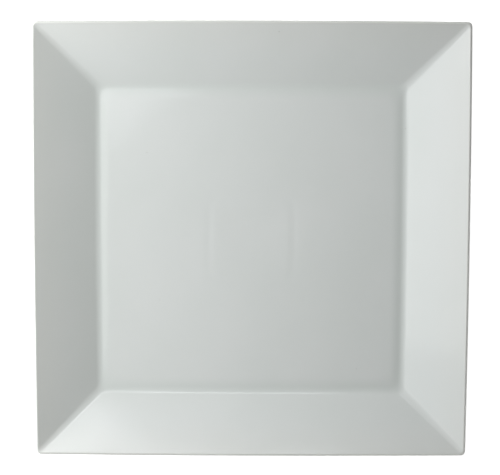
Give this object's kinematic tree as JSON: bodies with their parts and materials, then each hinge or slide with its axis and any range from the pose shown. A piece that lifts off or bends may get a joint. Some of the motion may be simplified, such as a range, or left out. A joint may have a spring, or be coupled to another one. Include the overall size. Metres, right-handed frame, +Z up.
{
  "type": "square dinner plate",
  "caption": "Square white porcelain dinner plate with a flat well, sloping mitred rim panels, a rounded lip and a bare ground foot ring.",
  "frame": {"origin": "middle of the plate on the plane of the foot ring's standing face", "axes": "+Z up out of the well, +X and +Y square to the plate's sides"},
  "size_m": [0.267, 0.267, 0.02],
  "materials": {
    "bare_porcelain": "fired, bare and ground on the foot",
    "white_glaze": "gloss, fired"
  },
  "bodies": {
    "root": {"porcelain_body": "bare_porcelain", "front_glaze": "white_glaze", "back_glaze": "white_glaze", "foot_recess_glaze": "white_glaze", "centre_glaze": "white_glaze"}
  },
  "joints": []
}
